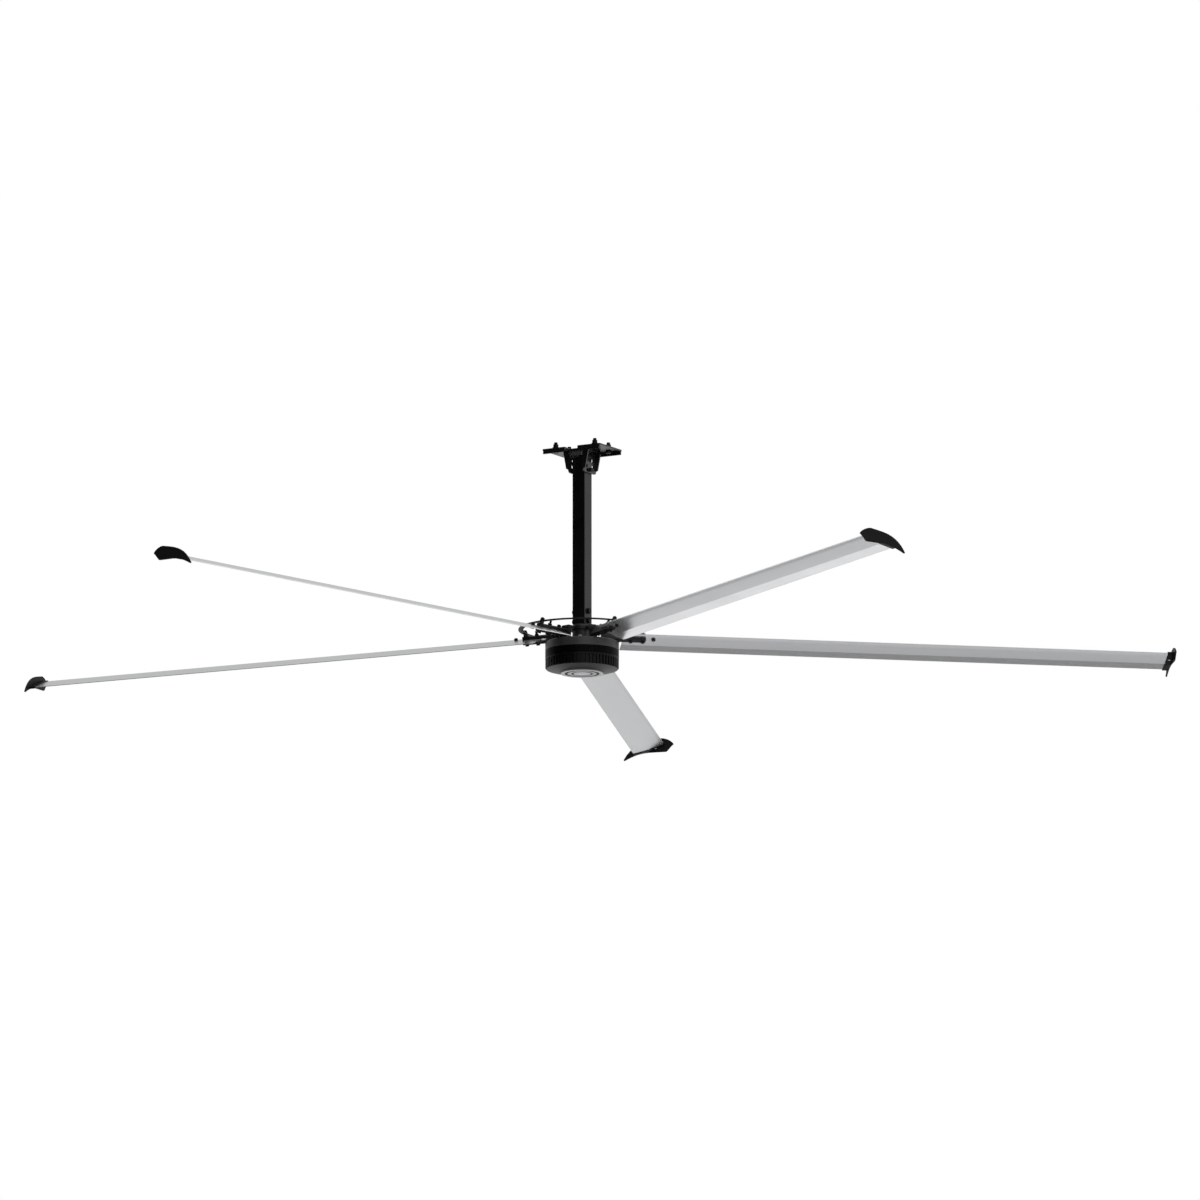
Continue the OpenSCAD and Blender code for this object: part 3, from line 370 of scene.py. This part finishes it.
class NodeTree:
    def __init__(self, name, inputs):  # inputs gives each named size its value
        self.tree = bpy.data.node_groups.new(name, "GeometryNodeTree")
        face = self.tree.interface
        face.new_socket("Geometry", in_out="INPUT", socket_type="NodeSocketGeometry")
        face.new_socket("Geometry", in_out="OUTPUT", socket_type="NodeSocketGeometry")
        self.values = {}
        for label, value in inputs.items():
            kind = "NodeSocketInt" if isinstance(value, int) else "NodeSocketFloat"
            made = face.new_socket(label, in_out="INPUT", socket_type=kind)
            made.default_value = value
            self.values[made.identifier] = value
        self.given = self.tree.nodes.new("NodeGroupInput").outputs
        self.end = self.tree.nodes.new("NodeGroupOutput")

    def add(self, kind, settings=None, **links):
        made = self.tree.nodes.new(kind)
        for key, value in (settings or {}).items():
            setattr(made, key, value)
        for key, value in links.items():
            slot = made.inputs[int(key[1:])] if key[0] == "_" else made.inputs[key.replace("_", " ")]
            if isinstance(value, bpy.types.NodeSocket):
                self.tree.links.new(value, slot)
            else:
                slot.default_value = value
        return made

    def facing(self, shape, **more):  # a copy of the shape at each point, turned the point's way
        way = self.add("GeometryNodeInputNamedAttribute", {"data_type": "FLOAT_VECTOR"}, Name="way")
        aim = self.add("FunctionNodeAlignRotationToVector", {"axis": "Z"}, Vector=way.outputs[0])
        return self.add("GeometryNodeInstanceOnPoints", Points=self.given["Geometry"], Instance=shape,
                        Rotation=aim.outputs[0], **more).outputs[0]

    def smooth(self, geometry):
        return self.add("GeometryNodeSetShadeSmooth", Geometry=geometry).outputs[0]

    def finish(self, geometry, material):
        real = self.add("GeometryNodeRealizeInstances", Geometry=geometry)
        painted = self.add("GeometryNodeSetMaterial", Geometry=real.outputs[0])
        painted.inputs["Material"].default_value = material
        self.tree.links.new(painted.outputs[0], self.end.inputs[0])


def runTree(name, mesh, nodeTree):  # evaluates the tree on a mesh and keeps the plain result
    carrier = bpy.data.objects.new(name + "Source", mesh)
    bpy.context.scene.collection.objects.link(carrier)
    modifier = carrier.modifiers.new("nodes", "NODES")
    modifier.node_group = nodeTree.tree
    for identifier, value in nodeTree.values.items():
        modifier[identifier] = value
    bpy.context.view_layer.update()
    graph = bpy.context.evaluated_depsgraph_get()
    result = bpy.data.meshes.new_from_object(carrier.evaluated_get(graph))
    bpy.data.objects.remove(carrier)
    piece = bpy.data.objects.new(name, result)
    bpy.context.scene.collection.objects.link(piece)
    return piece


def pointMesh(name, points, ways=()):  # loose points, each with the way that its copy faces
    mesh = bpy.data.meshes.new(name)
    mesh.from_pydata([tuple(p) for p in points], [], [])
    if ways:
        stored = mesh.attributes.new("way", "FLOAT_VECTOR", "POINT")
        for i, way in enumerate(ways):
            stored.data[i].vector = way
    return mesh


# Blades: one hollow section, flat on top, with a crease below, extruded from root to tip

blade = {
    "start": 150 * mm,
    "end": fanRadius - 3.5 * mm,
    "noseAhead": 25 * mm,  # from the arm's middle line to the leading edge
    "frontLength": 67.5 * mm,
    "tailLength": 47 * mm,
    "noseLength": 16 * mm,
    "thick": 8 * mm,
    "tailThick": 2 * mm,
    "wall": 1.8 * mm,
    "webFront": 8 * mm,  # the web's two faces, before and behind the arm's middle line
    "webBack": 14 * mm,
    "noseWall": 0.6,  # the solid part of the nose, as a share of its length
    "cellEnd": 1 * mm,  # the tail cell's height at its thin end
    "pitch": 21.3,
    "noseSteps": 20,
    "softAngle": 6.0,
}
bladeCrease = blade["frontLength"] - blade["noseAhead"]
bladeTailEnd = bladeCrease + blade["tailLength"]


def bladeOutline():  # the lower face lies at height 0; the nose's points turn by equal angles
    half = blade["thick"] / 2
    points = []
    for i in range(-blade["noseSteps"], blade["noseSteps"] + 1):
        slope = math.pi / 2 * i / blade["noseSteps"]
        a = math.atan2(half * math.sin(slope), blade["noseLength"] * math.cos(slope))
        back = blade["noseLength"] * (1 - math.cos(a)) - blade["noseAhead"]
        points.append((back, half + half * math.sin(a)))
    points.append((bladeTailEnd, blade["thick"]))
    points.append((bladeTailEnd, blade["thick"] - blade["tailThick"]))
    points.append((bladeCrease, 0))
    return points


def bladeCells():  # the three hollow cells inside the section
    wall = blade["wall"]
    top = blade["thick"] - wall
    low = blade["cellEnd"]
    front = blade["noseLength"] * blade["noseWall"] - blade["noseAhead"]
    rise = (blade["thick"] - blade["tailThick"]) / blade["tailLength"]
    start = bladeCrease + wall / 2
    end = bladeCrease + (top - wall - low) / rise
    return [[(front, wall), (-blade["webFront"], wall), (-blade["webFront"], top), (front, top)],
            [(blade["webBack"], wall), (bladeCrease - wall / 2, wall), (bladeCrease - wall / 2, top),
             (blade["webBack"], top)],
            [(start, wall + rise * wall / 2), (end, top - low), (end, top), (start, top)]]


def sectionMesh():
    bm = bmesh.new()
    edges = []
    for loop in [bladeOutline()] + bladeCells():
        ring = [bm.verts.new((blade["start"], y, z)) for y, z in loop]
        edges += [bm.edges.new((a, b)) for a, b in zip(ring, ring[1:] + ring[:1])]
    bmesh.ops.triangle_fill(bm, edges=edges, use_beauty=True)
    inCell = bladeCells()
    drop = [f for f in bm.faces if insideCells(f.calc_center_median(), inCell)]
    bmesh.ops.delete(bm, geom=drop, context="FACES_ONLY")
    for f in bm.faces:
        if f.normal.x > 0:
            f.normal_flip()
    mesh = bpy.data.meshes.new("bladeSection")
    bm.to_mesh(mesh)
    bm.free()
    return mesh


def insideCells(point, cells):
    for loop in cells:
        hit = False
        for (y1, z1), (y2, z2) in zip(loop, loop[1:] + loop[:1]):
            if (z1 > point.z) != (z2 > point.z):
                if point.y < (y2 - y1) * (point.z - z1) / (z2 - z1) + y1:
                    hit = not hit
        if hit:
            return True
    return False


def bladeTree(angle):
    g = NodeTree("bladeExtrusion", {
        "Length": blade["end"] - blade["start"],
        "Pitch": -math.radians(blade["pitch"]),
        "Turn": math.radians(angle),
        "Height": bladePlane,
    })
    source = g.given
    away = g.add("ShaderNodeCombineXYZ", X=source["Length"])
    pulled = g.add("GeometryNodeExtrudeMesh", {"mode": "FACES"}, Mesh=source["Geometry"],
                   Offset=away.outputs[0], Offset_Scale=1.0, Individual=False)
    sides = g.add("GeometryNodeFlipFaces", Mesh=pulled.outputs["Mesh"])
    root = g.add("GeometryNodeFlipFaces", Mesh=source["Geometry"])
    body = g.add("GeometryNodeJoinGeometry")
    g.tree.links.new(sides.outputs[0], body.inputs[0])
    g.tree.links.new(root.outputs[0], body.inputs[0])
    solid = g.add("GeometryNodeMergeByDistance", Geometry=body.outputs[0], Distance=0.01 * mm)
    spin = g.add("ShaderNodeCombineXYZ", X=source["Pitch"])
    tilted = g.add("GeometryNodeTransform", Geometry=solid.outputs[0], Rotation=spin.outputs[0])
    turn = g.add("ShaderNodeCombineXYZ", Z=source["Turn"])
    lift = g.add("ShaderNodeCombineXYZ", Z=source["Height"])
    placed = g.add("GeometryNodeTransform", Geometry=tilted.outputs[0], Rotation=turn.outputs[0],
                   Translation=lift.outputs[0])
    return g, placed.outputs[0]


def makeBlades():
    for i, angle in enumerate(bladeAngles):
        g, shape = bladeTree(angle)
        g.finish(shape, bladeFinishes[i])
        piece = runTree("bladeSkin%d" % (i + 1), sectionMesh(), g)
        softenMesh(piece, blade["softAngle"])
        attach(piece, "rotor")
        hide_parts("blade_%d" % (i + 1))


def softenMesh(piece, angle):  # smooth faces with sharp edges past an angle, normals outwards
    bm = bmesh.new()
    bm.from_mesh(piece.data)
    bmesh.ops.remove_doubles(bm, verts=bm.verts, dist=0.01 * mm)
    bmesh.ops.recalc_face_normals(bm, faces=bm.faces)
    limit = math.radians(angle)
    for e in bm.edges:
        e.smooth = len(e.link_faces) == 2 and e.calc_face_angle(0.0) < limit
    for f in bm.faces:
        f.smooth = True
    bm.to_mesh(piece.data)
    bm.free()


makeBlades()
print("blades extruded")

# Screw threads on the bolt ends that stand clear of their nuts

thread = {
    "pitch": 1.75 * mm,
    "ridge": 0.56 * mm,  # radius of the four-sided ridge
    "stepsPerTurn": 20,
    "softAngle": 40,
}


def threadTree(radius, height):
    g = NodeTree("boltThread", {
        "Radius": radius,
        "Height": height,
        "Turns": height / thread["pitch"],
        "Ridge": thread["ridge"],
    })
    around = g.given["Radius"]
    spiral = g.add("GeometryNodeCurveSpiral", Resolution=thread["stepsPerTurn"], Start_Radius=around,
                   End_Radius=around, Height=g.given["Height"], Rotations=g.given["Turns"])
    ridge = g.add("GeometryNodeCurvePrimitiveCircle", {"mode": "RADIUS"}, Resolution=4,
                  Radius=g.given["Ridge"])
    coil = g.add("GeometryNodeCurveToMesh", Curve=spiral.outputs[0], Profile_Curve=ridge.outputs[0],
                 Fill_Caps=True)
    return g, g.facing(coil.outputs[0])


def makeThreads(name, body, end, places, ways):
    g, shape = threadTree(end["radius"], end["height"])
    g.finish(shape, finishes["bolt_black"])
    piece = runTree(name, pointMesh(name + "Points", places, ways), g)
    softenMesh(piece, thread["softAngle"])
    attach(piece, body)


def onBlade(i, r, back, up):  # a point in the pitched frame of blade i, up from its lower face
    p = math.radians(blade["pitch"])
    turned = Vector((r, back * math.cos(p) + up * math.sin(p), up * math.cos(p) - back * math.sin(p)))
    return Matrix.Rotation(math.radians(bladeAngles[i]), 3, "Z") @ turned + Vector((0, 0, bladePlane))


def bladeWay(i):  # the direction square to blade i
    return onBlade(i, 0, 0, 1) - onBlade(i, 0, 0, 0)


ceilingEnd = {
    "radius": 5.95 * mm,
    "height": 6.2 * mm,
    "from": 18 * mm,
    "spanX": 160 * mm,
    "spanY": 95 * mm,
}
corners = [(x * ceilingEnd["spanX"] / 2, y * ceilingEnd["spanY"] / 2, ceilingEnd["from"])
           for x in (-1, 1) for y in (-1, 1)]
makeThreads("ceilingThreads", "mount", ceilingEnd, corners, [(0, 0, 1)] * len(corners))

rootEnd = {
    "radius": 3.95 * mm,
    "height": 8.6 * mm,
    "from": 25.6 * mm,
    "at": 174 * mm,
}
roots = [onBlade(i, rootEnd["at"], 0, rootEnd["from"]) for i in range(bladeCount)]
makeThreads("rootThreads", "rotor", rootEnd, roots, [bladeWay(i) for i in range(bladeCount)])
print("threads cut")

# Weld beads where the yoke's ears meet the plate

weld = {
    "bead": 2.4 * mm,
    "vary": (0.85, 1.12),
    "seed": 3,
    "pace": 2.1 * mm,
    "ear": 31.5 * mm,  # the ears' outer faces
    "earHalf": 38 * mm,
    "lip": 45 * mm,  # the side lips' outer faces
    "lipEnd": 51 * mm,
    "under": -6 * mm,
}


def weldTree():
    g = NodeTree("weldBead", {"Bead": weld["bead"], "Seed": weld["seed"]})
    least, most = weld["vary"]
    drop = g.add("GeometryNodeMeshIcoSphere", Radius=1.0, Subdivisions=2)
    vary = g.add("FunctionNodeRandomValue", {"data_type": "FLOAT"}, _2=least, _3=most, Seed=g.given["Seed"])
    size = g.add("ShaderNodeMath", {"operation": "MULTIPLY"}, _0=vary.outputs[1], _1=g.given["Bead"])
    beads = g.add("GeometryNodeInstanceOnPoints", Points=g.given["Geometry"], Instance=drop.outputs[0],
                  Scale=size.outputs[0])
    return g, g.smooth(beads.outputs[0])


def weldPlaces():  # along each ear's outer face, then along its two side lips
    places = []
    pace = weld["pace"]
    alongEar = int(2 * weld["earHalf"] / pace) + 1
    alongLip = int((weld["lipEnd"] - weld["ear"]) / pace) + 1
    for side in (-1, 1):
        for i in range(alongEar):
            places.append((side * weld["ear"], -weld["earHalf"] + pace * i, weld["under"]))
        for end in (-1, 1):
            for i in range(alongLip):
                places.append((side * (weld["lipEnd"] - pace * i), end * weld["lip"], weld["under"]))
    return places


def makeWelds():
    g, shape = weldTree()
    g.finish(shape, finishes["mount_paint"])
    piece = runTree("earWelds", pointMesh("weldLine", weldPlaces()), g)
    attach(piece, "mount")


makeWelds()
print("welds laid")

# Winglets: a thin raised rim and two set screws on each outer face

winglet = {
    "face": fanRadius,
    "ahead": 56.5 * mm,  # from the arm's middle line to the nose
    "up": 10 * mm,
    "top": 32.5 * mm,
    "low": -17 * mm,
    "tip": (123.5 * mm, -43 * mm),
    "steps": 14,
    "tipSteps": 5,
    "rim": 1.3 * mm,
    "rimSides": 8,
    "inset": 1.2 * mm,
    "screwRadius": 3.2 * mm,
    "screwFlat": 0.4,  # a head's height as a share of its radius
    "screws": ((-13 * mm, 4 * mm), (56 * mm, 5 * mm)),  # behind the arm's middle line, and up
}


def bend(a, b, c, d, steps):  # a cubic curve without its last point
    points = []
    for i in range(steps):
        t = i / steps
        u = 1 - t
        points.append(tuple(u ** 3 * p + 3 * u * u * t * q + 3 * u * t * t * r + t ** 3 * v
                            for p, q, r, v in zip(a, b, c, d)))
    return points


def wingletOutline():
    n = winglet["steps"]
    top = winglet["top"]
    low = winglet["low"]
    tipY, tipZ = winglet["tip"]
    nose = (-winglet["ahead"], winglet["up"])
    heel = (tipY - 4 * mm, tipZ - 3.5 * mm)
    crown = (-12 * mm, top)
    upFront = bend(nose, (nose[0] + 2.5 * mm, nose[1] + 7 * mm), (-35 * mm, top), crown, n)
    back = bend(crown, (33 * mm, top - 10 * mm), (88 * mm, top - 11 * mm), (tipY, tipZ), n)
    roundTip = bend((tipY, tipZ), (tipY + 1 * mm, tipZ - 2.5 * mm), (tipY - 1 * mm, tipZ - 5 * mm), heel,
                    winglet["tipSteps"])
    underTail = bend(heel, (95 * mm, -34 * mm), (70 * mm, -20 * mm), (20 * mm, -18.5 * mm), n)
    underNose = bend((-28 * mm, low), (-36 * mm, low + 1 * mm), (nose[0] + 16 * mm, nose[1] - 12 * mm),
                     nose, n)
    return upFront + back + roundTip + underTail + underNose


def rimTree():
    g = NodeTree("wingletRim", {"Thickness": winglet["rim"]})
    line = g.add("GeometryNodeMeshToCurve", Mesh=g.given["Geometry"])
    profile = g.add("GeometryNodeCurvePrimitiveCircle", {"mode": "RADIUS"}, Resolution=winglet["rimSides"],
                    Radius=g.given["Thickness"])
    tube = g.add("GeometryNodeCurveToMesh", Curve=line.outputs[0], Profile_Curve=profile.outputs[0])
    return g, g.smooth(tube.outputs[0])


def inward(points, step):  # the closed outline moved in by a step
    moved = []
    count = len(points)
    for i, (y, z) in enumerate(points):
        before = points[i - 1]
        after = points[(i + 1) % count]
        along = Vector((after[0] - before[0], after[1] - before[1])).normalized()
        moved.append((y + along.y * step, z - along.x * step))
    return moved


def makeRims():
    line = inward(wingletOutline(), winglet["inset"])
    verts = []
    edges = []
    for angle in bladeAngles:
        turn = Matrix.Rotation(math.radians(angle), 3, "Z")
        lift = Vector((0, 0, bladePlane))
        first = len(verts)
        verts += [tuple(turn @ Vector((winglet["face"], y, z)) + lift) for y, z in line]
        edges += [(first + i, first + (i + 1) % len(line)) for i in range(len(line))]
    mesh = bpy.data.meshes.new("rimLine")
    mesh.from_pydata(verts, edges, [])
    g, shape = rimTree()
    g.finish(shape, rimPlastic)
    piece = runTree("wingletRims", mesh, g)
    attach(piece, "rotor")


def screwTree():
    g = NodeTree("setScrews", {"Radius": winglet["screwRadius"]})
    head = g.add("GeometryNodeMeshUVSphere", Segments=20, Rings=12, Radius=1.0)
    flat = g.add("GeometryNodeTransform", Geometry=head.outputs[0], Scale=(1.0, 1.0, winglet["screwFlat"]))
    return g, g.smooth(g.facing(flat.outputs[0], Scale=g.given["Radius"]))


def makeSetScrews():
    places = []
    ways = []
    for i, angle in enumerate(bladeAngles):
        for back, up in winglet["screws"]:
            places.append(onBlade(i, winglet["face"], back, up))
            ways.append(Matrix.Rotation(math.radians(angle), 3, "Z") @ Vector((1, 0, 0)))
    g, shape = screwTree()
    g.finish(shape, finishes["bolt_black"])
    piece = runTree("setScrews", pointMesh("setScrewPoints", places, ways), g)
    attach(piece, "rotor")


makeRims()
makeSetScrews()
print("winglets trimmed")

# Floor, background and lights

room = {
    "floorZ": -4.2,
    "floorSize": 120.0,
    "floorTone": 0.86,
    "floorRoughness": 0.8,
    "floorFade": (3.0, 9.0),  # the floor runs out into the white background between these distances
    "ambient": 0.5,
    "sweepLevel": 1.4,  # how bright glossy surfaces see the studio
    "flag": (-0.4986, -0.8464, 0.1874),  # a black flag that the tube's front face shows
    "flagEdge": (0.5, 0.88),
    "flagTone": 0.03,
    "sweep": [(0.0, 0.40), (0.10, 0.36), (0.17, 0.10), (0.21, 0.10), (0.27, 0.29), (0.30, 1.0),
              (0.33, 1.0), (0.37, 0.30), (0.42, 0.30), (0.47, 0.54), (0.53, 0.54), (0.58, 0.50),
              (0.66, 0.43), (0.74, 0.36), (1.0, 0.55)],  # from straight down to straight up
}


def makeFloor():
    bm = bmesh.new()
    bmesh.ops.create_grid(bm, x_segments=1, y_segments=1, size=room["floorSize"] / 2)
    mesh = bpy.data.meshes.new("floor")
    bm.to_mesh(mesh)
    bm.free()
    floor = bpy.data.objects.new("floor", mesh)
    floor.location.z = room["floorZ"]
    bpy.context.scene.collection.objects.link(floor)
    m = Finish("floorPale", (room["floorTone"],) * 3, room["floorRoughness"], 0.0)
    clear = m.node("ShaderNodeBsdfTransparent")
    under = m.node("ShaderNodeNewGeometry", out="Backfacing")
    glossy = m.node("ShaderNodeLightPath", out="Is Glossy Ray")  # metal shows the studio's sweep instead
    seen = m.node("ShaderNodeLightPath", out="Is Camera Ray")
    near, far = room["floorFade"]
    away = m.ramp((m.radius() - near) / (far - near), [(0.0, 0.0), (1.0, 1.0)])
    hidden = under.largest(glossy).largest(away * seen)
    both = m.node("ShaderNodeMixShader", _0=hidden, _1=Wire(m.tree, m.shader.outputs[0]), _2=clear)
    m.tree.links.new(both.socket, m.tree.nodes["Material Output"].inputs["Surface"])
    mesh.materials.append(m.material)


def makeWorld():  # white for the camera, an even gray for dull surfaces, a sweep of grays for glossy ones
    world = bpy.data.worlds.new("world")
    bpy.context.scene.world = world
    world.use_nodes = True
    sky = ShaderTree(world.node_tree)
    background = sky.tree.nodes["Background"]
    background.inputs["Color"].default_value = (1, 1, 1, 1)
    seen = sky.node("ShaderNodeLightPath", out="Is Camera Ray")
    glossy = sky.node("ShaderNodeLightPath", out="Is Glossy Ray")
    clear = sky.node("ShaderNodeLightPath", out="Is Transmission Ray")
    sight = sky.node("ShaderNodeTexCoord", out="Generated")
    toFlag = sky.node("ShaderNodeVectorMath", {"operation": "DOT_PRODUCT"}, out="Value",
                      _0=sight, _1=Vector(room["flag"]).normalized())
    edge, inside = room["flagEdge"]
    level = sky.node("ShaderNodeMapRange", {"interpolation_type": "SMOOTHSTEP"}, Value=toFlag,
                     From_Min=edge, From_Max=inside, To_Min=room["sweepLevel"], To_Max=room["flagTone"])
    height = sky.axis("Z", sight) * 0.5 + 0.5
    sweep = sky.ramp(height, room["sweep"]) * level
    dull = (1 - glossy) * room["ambient"]
    strength = seen.largest(clear).largest(glossy * sweep).largest(dull)
    sky.tree.links.new(strength.socket, background.inputs["Strength"])


lamps = {
    "sideRight": {"from": (9.0, 1.0, 1.5), "size": 5.0, "watts": 420},
    "sideLeft": {"from": (-8.0, 2.5, 1.0), "size": 5.0, "watts": 300},
    "above": {"from": (1.0, -2.0, 8.0), "size": 7.0, "watts": 380},
    "below": {"from": (0.5, -5.0, -6.5), "size": 6.0, "watts": 220},
}


def makeLamps():
    for name, lamp in lamps.items():
        data = bpy.data.lights.new(name, "AREA")
        data.size = lamp["size"]
        data.energy = lamp["watts"]
        light = bpy.data.objects.new(name, data)
        light.location = lamp["from"]
        toFan = Vector((0, 0, bladePlane)) - light.location
        light.rotation_mode = "QUATERNION"
        light.rotation_quaternion = toFan.to_track_quat("-Z", "Y")
        light.visible_glossy = False  # metal shows the sweep alone, so no blade clips in a lamp's image
        bpy.context.scene.collection.objects.link(light)


makeFloor()
makeWorld()
makeLamps()
bpy.context.scene.view_settings.view_transform = "Standard"
print("floor and lights set")
